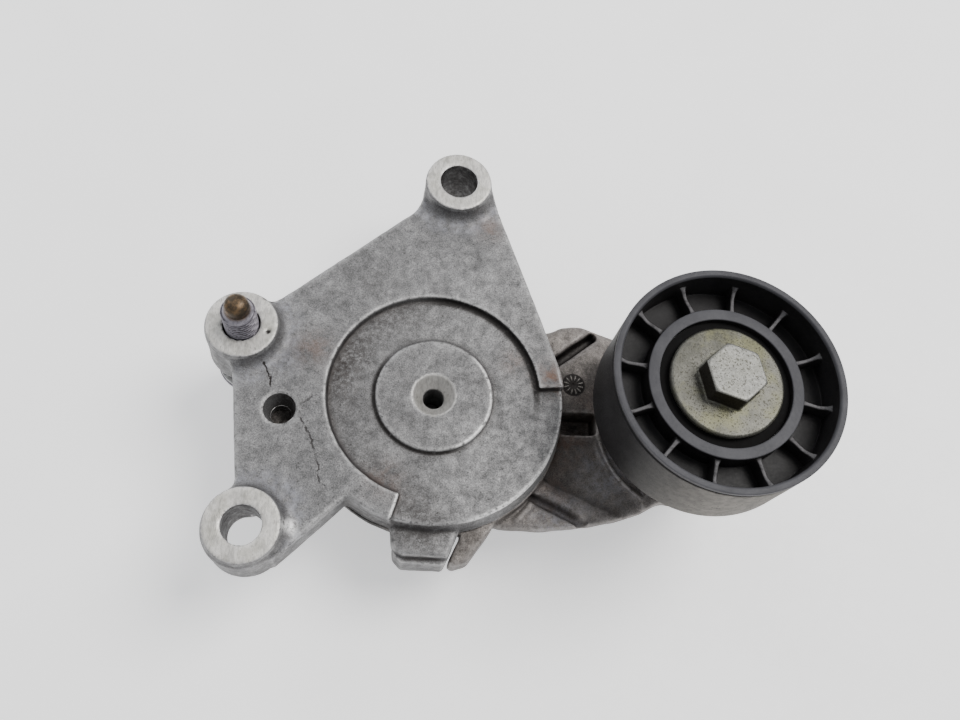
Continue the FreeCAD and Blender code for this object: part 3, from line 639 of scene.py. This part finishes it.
def blacken_bracket(surface, normals, raised):
    """Painted shade as black creases along the recess's wall, the hub's foot, the plate's step and the gap, and
    black in the nicks.
    """
    height = surface.at[:, 2]
    below_plate = height < PLATE_TOP - 0.3 * MM
    # painted shadow beside the recess's upper-right wall, fainter painted shade along its left, and painted shade
    # at the hub's lower-left foot and the plate's step
    black = surface.arc(RECESS_R, 0.85, 45, 60) * below_plate
    black += 0.35 * surface.arc(RECESS_R + 0.2, 0.6, 180, 75) * below_plate
    black += surface.arc(HUB_FOOT_R, 0.45, 220, 84) * (height < DISC_TOP + 0.8 * MM)
    step_foot = np.exp(-((surface.beside(PLATE_END) + 0.35) / 0.5) ** 2)
    black += step_foot * ((surface.at[:, 0] > 30.5 * MM) & ~raised)
    # painted shade in the gap between the disc and the arm
    black += 0.9 * surface.arc(40.0, 2.2, GAP_TURN, GAP_REACH) * (height < 1.6 * MM)
    for x, y, size in NICKS:
        black += 1.6 * surface.spot(x, y, size * 0.8) * (normals[:, 2] > -0.2)
    surface.store("black", np.clip(black, 0, 1))


def machine_bracket(surface, normals, from_boss, from_pivot):
    """Faced bosses with turning marks, and a half-bright countersink."""
    height = surface.at[:, 2]
    top_face = (height > BOSS_TOP - 0.22 * MM) & (normals[:, 2] > 0.8)
    countersink = (from_pivot > PIVOT_HOLE + 0.2 * MM) & (from_pivot < COUNTERSINK)
    countersink &= (height > 4.5 * MM) & (normals[:, 2] > 0.3)
    surface.store("machined", np.where(top_face, 1.0, np.where(countersink, 0.55, 0.0)))
    surface.store("turning", from_boss / MM)


def soil_and_shade_bracket(surface, normals, from_boss, from_pivot):
    """Painted shade in the holes, on the bosses' side walls, on faces turned downwards and in the lock hole,
    stains in the disc's recess, painted sheen round the bosses, and rust.
    """
    height = surface.at[:, 2]
    hole = (from_boss < TOP_HOLE + 0.2 * MM) & (np.abs(normals[:, 2]) < 0.6)
    wall = (np.abs(normals[:, 2]) < 0.75) & (from_boss < 14 * MM)
    recess = (np.abs(height - DISC_TOP) < 0.6 * MM) * np.clip((from_pivot / MM - 18) / 9, 0, 1)
    on_disc = (from_pivot < 38 * MM) & (height < PLATE_TOP - 0.5 * MM) & (height > 7 * MM)
    # painted shade inside the bosses' holes and on their side walls; stains in the recess
    soiled_and_shaded = 0.28 * wall + 0.95 * hole + 0.85 * recess * surface.spots(DISC_STAINS) + 0.13 * on_disc
    grime_and_shade = surface.spread(soiled_and_shaded, 3)
    # painted shade in the lock hole, darker towards its right side
    in_lock = (surface.distance(LOCK_AXIS) < LOCK_MOUTH + 0.5 * MM) & (height < PLATE_TOP - 0.6 * MM)
    right_side = np.clip(0.45 + (surface.at[:, 0] - LOCK_AXIS[0]) / (5 * MM), 0.1, 1)
    grime_and_shade += 1.1 * in_lock * right_side + surface.spots(BRACKET_STAINS)
    # painted shade on faces turned downwards, and a darker patch low down near the lug
    grime_and_shade += 0.25 * (normals[:, 2] < -0.3) + 0.8 * surface.spot(-17, -37, 8) * (height < 7 * MM)
    surface.store("grime_and_shade", np.clip(grime_and_shade, 0, 1))
    # painted sheen: a pale ring round the bosses' flares, and patches
    flare = np.exp(-((from_boss / MM - 14.5) / 2.6) ** 2) * (height > 8 * MM)
    surface.store("painted_sheen", np.clip(flare + surface.spots(BRACKET_SHEENS), 0, 1))
    surface.store("rust", np.clip(surface.spots(BRACKET_RUST), 0, 1))


def bracket_casting():
    piece = remeshed(copy_of("base_bracket", "bracket_casting"), BRACKET_VOXEL)
    surface = Surface(piece)
    from_boss = np.min([surface.distance(axis) for axis in BOSS_AXES], axis=0)
    from_pivot = surface.distance(PIVOT)
    shape_bracket(surface, from_boss, from_pivot)
    normals = surface.normals()
    raised = surface.at[:, 2] > PLATE_TOP - 0.7 * MM
    wear_and_highlight_bracket(surface, from_pivot, raised)
    blacken_bracket(surface, normals, raised)
    machine_bracket(surface, normals, from_boss, from_pivot)
    soil_and_shade_bracket(surface, normals, from_boss, from_pivot)
    piece.data.materials.append(cast_metal(
        "cast_bracket", light=(0.205, 0.203, 0.203), dark=(0.148, 0.146, 0.147),
        dirt_and_shade=(0.026, 0.021, 0.019), edge_color=(0.80, 0.79, 0.78), lines=PLATE_LINES))
    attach(piece, "bracket")
    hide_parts("base_bracket")


def shape_arm(surface, from_pivot):
    """Round the lever well, keep the spring cup and the pulley's seat crisp, and wave the skin."""
    height, from_pulley = surface.at[:, 2], surface.distance(PULLEY_AXIS)
    crisp = (from_pulley < 18 * MM) & (height > 18 * MM)
    crisp |= (from_pivot < SPRING_CUP) & (height > -30 * MM)
    crisp |= from_pulley < 5.8 * MM
    crisp |= (from_pivot < 60 * MM) & (surface.at[:, 0] < -38 * MM)
    cast = surface.spread(np.where(crisp, 0.0, 1.0), 2)
    lever = cast * (from_pivot > 42 * MM) * (height > -12 * MM) * (height < 0)
    surface.soften(cast, 6)
    surface.soften(surface.spread(lever, 3), 12)
    calm = cast * (1 - surface.spot(DIAL_AT[0] / MM, DIAL_AT[1] / MM, 5.5))
    surface.wave(6 * MM, 0.22 * MM, calm)
    surface.wave(1.7 * MM, 0.06 * MM, calm)
    surface.at[:, 2] = np.maximum(surface.at[:, 2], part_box("tension_arm")[0].z)
    surface.write()


def in_groove(surface):
    """Which points lie in the groove of the arm's upper face."""
    start, end = (Vector(point) for point in GROOVE)
    along = (end - start).normalized()
    x, y = surface.at[:, 0] / MM - start.x, surface.at[:, 1] / MM - start.y
    run, off = x * along.x + y * along.y, y * along.x - x * along.y
    depth = LEVER_TOP - surface.at[:, 2]
    inside = (np.abs(off) < 2.4) & (run > -8) & (run < (end - start).length)
    return inside & (depth > 1.3 * MM) & (depth < 9 * MM)


def arm_casting():
    piece = remeshed(copy_of("tension_arm", "arm_casting"), ARM_VOXEL)
    surface = Surface(piece)
    shape_arm(surface, surface.distance(PIVOT))
    height = surface.at[:, 2]
    surface.store_wear(ARM_VOXEL, dirt_and_shade=0.6)
    for name in ("machined", "turning"):
        surface.store(name, np.zeros(surface.count))
    # painted shade in the gap under the bracket's disc and in the groove, which lies in the pulley's shade
    gap = surface.arc(39.5, 2.0, GAP_TURN, GAP_REACH) * (height > LEVER_TOP)
    groove = surface.spread(np.where(in_groove(surface), 0.9, 0.0), 2)
    surface.store("black", np.clip(groove + gap, 0, 1))
    # painted sheen lightening the arm's field, which lies in the pulley's shade
    surface.store("painted_sheen", np.clip(surface.spots(ARM_SHEENS), 0, 1))
    top = (height > -17 * MM) & (height < 0)
    grime_and_shade = 0.06 + surface.spots(LEVER_STAINS) * top + surface.spots(ARM_STAINS)
    # painted shade on the arm under the plate's lock hole
    grime_and_shade += 1.3 * surface.spot(LOCK_AXIS.x / MM, LOCK_AXIS.y / MM, 7)
    surface.store("grime_and_shade", np.clip(surface.spread(grime_and_shade, 2), 0, 1))
    surface.store("rust", np.clip(surface.spots(ARM_RUST), 0, 1))
    piece.data.materials.append(cast_metal(
        "cast_arm", light=(0.215, 0.195, 0.180), dark=(0.128, 0.115, 0.105),
        dirt_and_shade=(0.022, 0.018, 0.016), edge_color=(0.50, 0.47, 0.45)))
    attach(piece, "arm")
    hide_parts("tension_arm")


# ---- Dial on the arm -------------------------------------------------------------------------
# all in millimetres: outer radius, width of the rim, how deep the dial is sunk in the casting
DIAL_R, DIAL_RIM, DIAL_DEPTH = 3.75, 0.4, 0.5
DIAL_TICKS, DIAL_SEGMENTS = 12, 64
TICK = ((1.5, -0.10), (3.15, -0.24), (3.15, 0.24), (1.5, 0.10))
TICK_FOOT, TICK_RISE = 0.3, 0.20        # below and above the arm's face


def dial_tick(turn):
    """One short raised bar, wider towards the rim."""
    outline = softened(TICK, 0.12, 3)
    count = len(outline)
    low = [turn @ Vector((x * MM, y * MM, LEVER_TOP - TICK_FOOT * MM)) for x, y in outline]
    high = [turn @ Vector((x * MM, y * MM, LEVER_TOP + TICK_RISE * MM)) for x, y in outline]
    sides = [(j, (j + 1) % count, count + (j + 1) % count, count + j) for j in range(count)]
    return from_points("dial_tick", low + high, sides + [tuple(range(count, 2 * count))])


def date_dial():
    """A generic cast-in dial: a sunk dark disc with short raised ticks near its rim."""
    top = LEVER_TOP / MM
    low, inner, middle = top - DIAL_DEPTH, DIAL_R - DIAL_RIM, 0.01
    edge = [(inner, low), (DIAL_R, low), (DIAL_R, top + 0.12), (inner, top + 0.12)]
    plate = [(middle, low), (inner + 0.1, low), (inner + 0.1, top + 0.03), (middle, top + 0.05)]
    rim = lathe("dial_rim", softened(edge, 0.1), DIAL_AT, DIAL_SEGMENTS)
    face = lathe("dial_face", plate, DIAL_AT, DIAL_SEGMENTS)
    ticks = []
    for i in range(DIAL_TICKS):
        angle = 2 * math.pi * (i + 0.5) / DIAL_TICKS
        ticks.append(dial_tick(Matrix.Translation((*DIAL_AT, 0)) @ Matrix.Rotation(angle, 4, "Z")))
    light = plain_metal("dial_light", (0.42, 0.40, 0.37), (0.18, 0.165, 0.15), 0.6)
    dark = plain_polymer("dial_grime", (0.050, 0.043, 0.039), (0.018, 0.016, 0.015), 0.6, 0.5, 0.25)
    for part in ticks:
        part.data.materials.append(light)
    for part in (rim, face):
        part.data.materials.append(dark)
    dial = facing_out(joined([rim, face] + ticks, "date_dial"))
    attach(dial, "arm")


# ---- Pulley ----------------------------------------------------------------------------------
# all in millimetres
RIM_WALL, HUB_RADIUS, BEARING_SEAT, HUB_LIP = 2.1, 22.0, 20.0, 18.8
WEB_BELOW, WEB_ABOVE = 29.2, 31.8       # heights of the web's two faces
HUB_FOOT, HUB_FRONT = 20.1, 38.9        # heights of the hub's two ends
RIBS, RIB_PHASE, RIB_STATIONS = 12, 18.5, 15
RIB_HALF, RIB_FLARE, FLARE_LENGTH = 0.55, 1.1, 0.7
RIB_SINK, RIB_DISH, RIB_RISE = 1.4, 0.9, 5.7        # of a rib's edge below the hub's front, and back up
DISH_SHARE = 0.6                        # share of the rib's length that is dished
DUST_AND_LIGHT_SIDE = -62                         # direction of the side of the tread with dust and painted light, in degrees
BOLT_VOXEL = 0.26 * MM


def pulley_outline():
    """Rim, web and hub as one closed (radius, height) outline in millimetres."""
    low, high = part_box("pulley")
    outer, rear, front = (high.x - low.x) / 2 / MM, low.z / MM, high.z / MM
    inner = outer - RIM_WALL
    seat_low, seat_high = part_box("bearing_outer_ring")[0].z / MM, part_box("bearing_outer_ring")[1].z / MM
    return [(inner, rear), (outer - 0.3, rear), (outer, rear + 0.9), (outer, front - 2.5),
            (outer - 0.4, front - 2.3), (outer - 0.4, front - 1.6), (outer, front - 1.4), (outer, front),
            (inner + 0.4, front), (inner, front - 0.7), (inner, WEB_ABOVE), (HUB_RADIUS, WEB_ABOVE),
            (HUB_RADIUS, HUB_FRONT),
            (HUB_LIP, HUB_FRONT), (HUB_LIP, seat_high), (BEARING_SEAT, seat_high), (BEARING_SEAT, seat_low),
            (HUB_LIP, seat_low), (HUB_LIP, HUB_FOOT), (HUB_RADIUS, HUB_FOOT), (HUB_RADIUS, WEB_BELOW),
            (inner, WEB_BELOW)]


def rib_crest(r, inner):
    """Height of a rib's upper edge at a radius: dished near the hub, rising to the rim."""
    share = (r - HUB_RADIUS + 0.5) / (inner + 0.9 - HUB_RADIUS)
    rise = RIB_RISE * np.maximum(0.0, share - DISH_SHARE) ** 1.3
    return HUB_FRONT - RIB_SINK + rise - RIB_DISH * np.clip(share / DISH_SHARE, 0, 1)


def rib(angle, inner):
    """A thin dished rib through the web, flared where it meets hub and rim."""
    points, faces = [], []
    turn = Matrix.Translation((PULLEY_AXIS.x, PULLEY_AXIS.y, 0)) @ Matrix.Rotation(angle, 4, "Z")
    start, end = HUB_RADIUS - 0.5, inner + 0.4
    for i in range(RIB_STATIONS):
        r = start + (end - start) * i / (RIB_STATIONS - 1)
        flare = math.exp(-(r - start) / FLARE_LENGTH) + math.exp(-(end - r) / FLARE_LENGTH)
        half = RIB_HALF + RIB_FLARE * flare
        top = float(rib_crest(r, inner))
        bottom = HUB_FOOT + HUB_FRONT - 0.2 - top
        crest = half * 0.6
        loop = [(-half, bottom + 0.3), (-crest, bottom), (crest, bottom), (half, bottom + 0.3),
                (half, top - 0.3), (crest, top), (-crest, top), (-half, top - 0.3)]
        points += [turn @ Vector((r * MM, y * MM, z * MM)) for y, z in loop]
    size = len(loop)
    for i in range(RIB_STATIONS - 1):
        for j in range(size):
            k = (j + 1) % size
            faces.append((i * size + j, i * size + k, (i + 1) * size + k, (i + 1) * size + j))
    faces += [tuple(range(size)), tuple(range((RIB_STATIONS - 1) * size, RIB_STATIONS * size))]
    return from_points("rib", points, faces)


def pulley_wheel():
    outline = pulley_outline()
    outer, front = max(r for r, _ in outline), max(z for _, z in outline)
    inner = outer - RIM_WALL
    wheel = lathe("wheel", softened(outline, 0.35), PULLEY_AXIS, 256)
    ribs = [rib(math.radians(RIB_PHASE + 360 * i / RIBS), inner) for i in range(RIBS)]
    piece = facing_out(joined([wheel] + ribs, "pulley_wheel"))
    surface = Surface(piece)
    from_axis = surface.distance(PULLEY_AXIS) / MM
    around = np.arctan2(surface.at[:, 1] - PULLEY_AXIS.y, surface.at[:, 0] - PULLEY_AXIS.x)
    height = surface.at[:, 2] / MM
    tread = (from_axis > outer - 0.2) & (height < front - 2.4)
    # dust on the tread together with painted light, heavier towards one side
    dusty_lit_side = np.clip(np.cos(around - math.radians(DUST_AND_LIGHT_SIDE)) * 1.2, 0, 1) ** 2.2
    surface.store("dust_and_light", np.where(tread, 0.03 + 0.97 * dusty_lit_side, 0.03))
    # painted highlights on the rib tops and the rim's front edge
    on_rib = (from_axis > HUB_RADIUS + 0.2) & (from_axis < inner - 0.2)
    rib_top = on_rib & (height > rib_crest(from_axis, inner) - 0.15)
    rim_edge = (from_axis > outer - 0.15) & (height > front - 0.4)
    surface.store("edge", np.where(rib_top, 0.8, np.where(rim_edge, 0.35, 0.02)))
    # painted sheen on the front faces of the hub ring and the rim
    ring = (from_axis > HUB_LIP - 0.1) & (from_axis < HUB_RADIUS + 0.05) & (height > HUB_FRONT - 0.25)
    rim_face = (from_axis > inner - 0.1) & (height > front - 0.8)
    surface.store("front", np.where(ring | rim_face, 1.0, 0.0))
    piece.data.materials.append(moulded_plastic())
    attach(piece, "pulley")
    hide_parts("pulley")


def pulley_bolt_piece():
    """Zinc-plated bolt whose hexagon has painted shade on its sides and a rubbed top."""
    piece = remeshed(copy_of("pulley_bolt", "flanged_pulley_bolt"), BOLT_VOXEL)
    surface = Surface(piece)
    surface.soften(np.ones(surface.count), 2)
    surface.wave(5 * MM, 0.08 * MM, np.ones(surface.count))
    surface.write()
    surface.store_wear(BOLT_VOXEL)
    normals = surface.normals()
    from_axis = surface.distance(PULLEY_AXIS) / MM
    # painted shade on the hexagon's sides
    side = (np.abs(normals[:, 2]) < 0.5) & (from_axis < 10) & (surface.at[:, 2] > 40 * MM)
    surface.store("grime_and_shade", surface.spread(np.where(side, 0.85, 0.0), 1))
    head_top = (surface.at[:, 2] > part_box("pulley_bolt")[1].z - 0.7 * MM) & (normals[:, 2] > 0.6)
    surface.store("bare", surface.spread(np.where(head_top, 1.0, 0.0), 1))
    piece.data.materials.append(zinc("zinc_pulley_bolt", light=(0.094, 0.092, 0.079),
                                     dark=(0.056, 0.055, 0.045), tint=(0.090, 0.088, 0.049)))
    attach(piece, "arm")
    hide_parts("pulley_bolt")


# ---- Captive mounting bolt -------------------------------------------------------------------
# all in millimetres: radii of the thread and of the neck above it, and the height where it ends
THREAD_PITCH = 1.25
THREAD_CREST, THREAD_ROOT, NECK = 4.95, 4.05, 4.3
THREAD_END = 23.6
THREAD_SIDES, THREAD_STEP = 96, 0.11
# heights and radii of the rounded pilot tip
PILOT = ((24.7, 3.55), (26.9, 3.5), (27.7, 3.2), (28.4, 2.6), (28.8, 1.8), (29.0, 0.9), (29.02, 0.0))


def bolt_radius(height, turn):
    """Radius of the threaded shank in millimetres at a height and a share of a turn."""
    if height < THREAD_END:
        tooth = abs(((height / THREAD_PITCH - turn) % 1.0) * 2 - 1)
        return THREAD_ROOT + (THREAD_CREST - THREAD_ROOT) * min(1.0, max(0.0, tooth * 1.5 - 0.2))
    if height < PILOT[0][0]:
        share = (height - THREAD_END) / (PILOT[0][0] - THREAD_END)
        return NECK + (PILOT[0][1] - 0.15 - NECK) * share
    heights, radii = zip(*PILOT)
    return float(np.interp(height, heights, radii))


def threaded_shank(low):
    """The bolt from its head up to its tip, with a helical thread."""
    around = THREAD_SIDES
    heights = list(np.arange(low, PILOT[0][0], THREAD_STEP)) + [h for h, _ in PILOT[:-1]]
    points, faces = [], []
    for height in heights:
        for i in range(around):
            r, angle = bolt_radius(height, i / around), 2 * math.pi * i / around
            x, y = r * MM * math.cos(angle), r * MM * math.sin(angle)
            points.append((BOLT_AXIS.x + x, BOLT_AXIS.y + y, height * MM))
    for j in range(len(heights) - 1):
        for i in range(around):
            k = (i + 1) % around
            faces.append((j * around + i, j * around + k, (j + 1) * around + k, (j + 1) * around + i))
    faces.append(tuple(range((len(heights) - 1) * around, len(heights) * around)))
    return from_points("shank", points, faces)


def mounting_bolt_piece():
    """The CAD bolt's head, cut off above its seat, with a threaded shank in place of the plain one."""
    head = copy_of("mounting_bolt", "captive_mounting_bolt")
    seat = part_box("mounting_bolt_washer")[0].z
    mesh = bmesh.new()
    mesh.from_mesh(head.data)
    bmesh.ops.remove_doubles(mesh, verts=mesh.verts, dist=1e-7)
    cut = bmesh.ops.bisect_plane(mesh, geom=mesh.verts[:] + mesh.edges[:] + mesh.faces[:], dist=1e-7,
                                 plane_co=(0, 0, seat + 0.4 * MM), plane_no=(0, 0, 1), clear_outer=True)
    rim = [edge for edge in cut["geom_cut"] if isinstance(edge, bmesh.types.BMEdge)]
    bmesh.ops.holes_fill(mesh, edges=rim)
    mesh.to_mesh(head.data)
    mesh.free()
    remeshed(head, 0.3 * MM)
    shape = Surface(head)
    shape.soften(np.ones(shape.count), 3)
    shape.write()
    piece = joined([head, threaded_shank(seat / MM)], "captive_mounting_bolt")
    surface = Surface(piece)
    height = surface.at[:, 2] / MM
    from_axis = surface.distance(BOLT_AXIS) / MM
    surface.store("rust", np.clip((height - 23.9) / 0.8, 0, 1))
    # painted shade in the thread's roots, and less below the seat
    root = (from_axis < THREAD_CREST - 0.2) & (height < THREAD_END) & (height > seat / MM + 0.5)
    surface.store("grime_and_shade", np.where(root, 0.8, np.where(height < seat / MM, 0.25, 0.0)))
    piece.data.materials.append(threaded_steel())
    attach(piece, "mounting_bolt")
    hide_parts("mounting_bolt")


# ---- CAD parts that stay as they are ---------------------------------------------------------
def paint_nodes(material, *nodes):
    for node in nodes:
        NODES[node].data.materials.clear()
        NODES[node].data.materials.append(material)


def paint_inner_parts():
    steel = plain_metal("drawn_steel", (0.50, 0.50, 0.49), (0.34, 0.34, 0.34))
    ground = plain_metal("ground_bearing_steel", (0.66, 0.66, 0.67), (0.52, 0.52, 0.53), 0.8)
    # painted shade: the bearing's outer ring is near black so the gap round the hub reads black
    shaded_race = plain_metal("shade_dark_bearing_steel", (0.12, 0.12, 0.12), (0.06, 0.06, 0.06), 0.8)
    wire = plain_metal("spring_wire", (0.30, 0.30, 0.31), (0.17, 0.17, 0.18), 2.5)
    rubber = plain_polymer("black_rubber", (0.0055, 0.005, 0.005), (0.003, 0.003, 0.003), 0.7, 1.2, 0.1)
    bush = plain_polymer("bush_plastic", (0.60, 0.56, 0.45), (0.48, 0.44, 0.35), 0.45)
    damper = plain_polymer("damper_plastic", (0.13, 0.12, 0.105), (0.07, 0.065, 0.058), 0.5)
    paint_nodes(steel, "pivot_end_plate", "pivot_end_screw", "pulley_rear_shield", "mounting_bolt_washer")
    paint_nodes(wire, "torsion_spring")
    paint_nodes(ground, "bearing_inner_ring", "bearing_balls", "bearing_cage")
    paint_nodes(shaded_race, "bearing_outer_ring")
    paint_nodes(rubber, "dust_seal", "bearing_front_seal", "bearing_rear_seal")
    paint_nodes(bush, "thrust_washer", "pivot_bush", "bolt_retaining_ring")
    paint_nodes(damper, "spring_damper_sleeve")


# ---- Floor, light and camera -----------------------------------------------------------------
FLOOR_HALF = 3.0                        # half the floor's width, in metres
WORLD_COLOR, WORLD_STRENGTH = (0.95, 0.97, 1.0, 1.0), 0.60
# the camera looks down on the bracket's face, a little from below, rolled as if held by hand
CAMERA_AT = (-0.0166, -0.0935, 0.258)
CAMERA_RIGHT, CAMERA_UP = (0.99272, 0.0, 0.12046), (-0.04663, 0.92207, 0.38426)
FOCAL_LENGTH, SENSOR_WIDTH = 33.75, 36  # millimetres


def floor():
    corners = [(x * FLOOR_HALF, y * FLOOR_HALF, FLOOR_Z) for x, y in ((-1, -1), (1, -1), (1, 1), (-1, 1))]
    plane = from_points("floor", corners, [(0, 1, 2, 3)])
    plane.data.materials.append(floor_paint())


def area_light(name, place, target, size, power, color=(1, 1, 1)):
    light = bpy.data.lights.new(name, "AREA")
    light.shape = "DISK"
    light.size = size
    light.energy = power
    light.color = color
    lamp = bpy.data.objects.new(name, light)
    bpy.context.scene.collection.objects.link(lamp)
    lamp.location = place
    lamp.rotation_euler = (Vector(target) - Vector(place)).to_track_quat("-Z", "Y").to_euler()


def studio():
    """Soft daylight from the right, with a weaker glow from the far left."""
    world = bpy.data.worlds.new("studio")
    world.use_nodes = True
    sky = world.node_tree.nodes["Background"]
    sky.inputs["Color"].default_value = WORLD_COLOR
    sky.inputs["Strength"].default_value = WORLD_STRENGTH
    bpy.context.scene.world = world
    area_light("key", (0.74, 0.32, 1.40), (0, 0, 0), 0.9, 26.5, (1.0, 0.985, 0.965))
    area_light("fill", (-0.7, 0.9, 0.8), (0, 0, 0), 1.0, 6.0, (0.95, 0.97, 1.0))


def camera():
    right, up = Vector(CAMERA_RIGHT), Vector(CAMERA_UP)
    back = right.cross(up)
    lens = bpy.data.cameras.new("camera")
    lens.lens = FOCAL_LENGTH
    lens.sensor_width = SENSOR_WIDTH
    view = bpy.data.objects.new("camera", lens)
    bpy.context.scene.collection.objects.link(view)
    turn = Matrix((right, up, back)).transposed().to_4x4()
    view.matrix_world = Matrix.Translation(CAMERA_AT) @ turn
    bpy.context.scene.camera = view


bracket_casting()
arm_casting()
date_dial()
pulley_wheel()
pulley_bolt_piece()
mounting_bolt_piece()
paint_inner_parts()
floor()
studio()
camera()
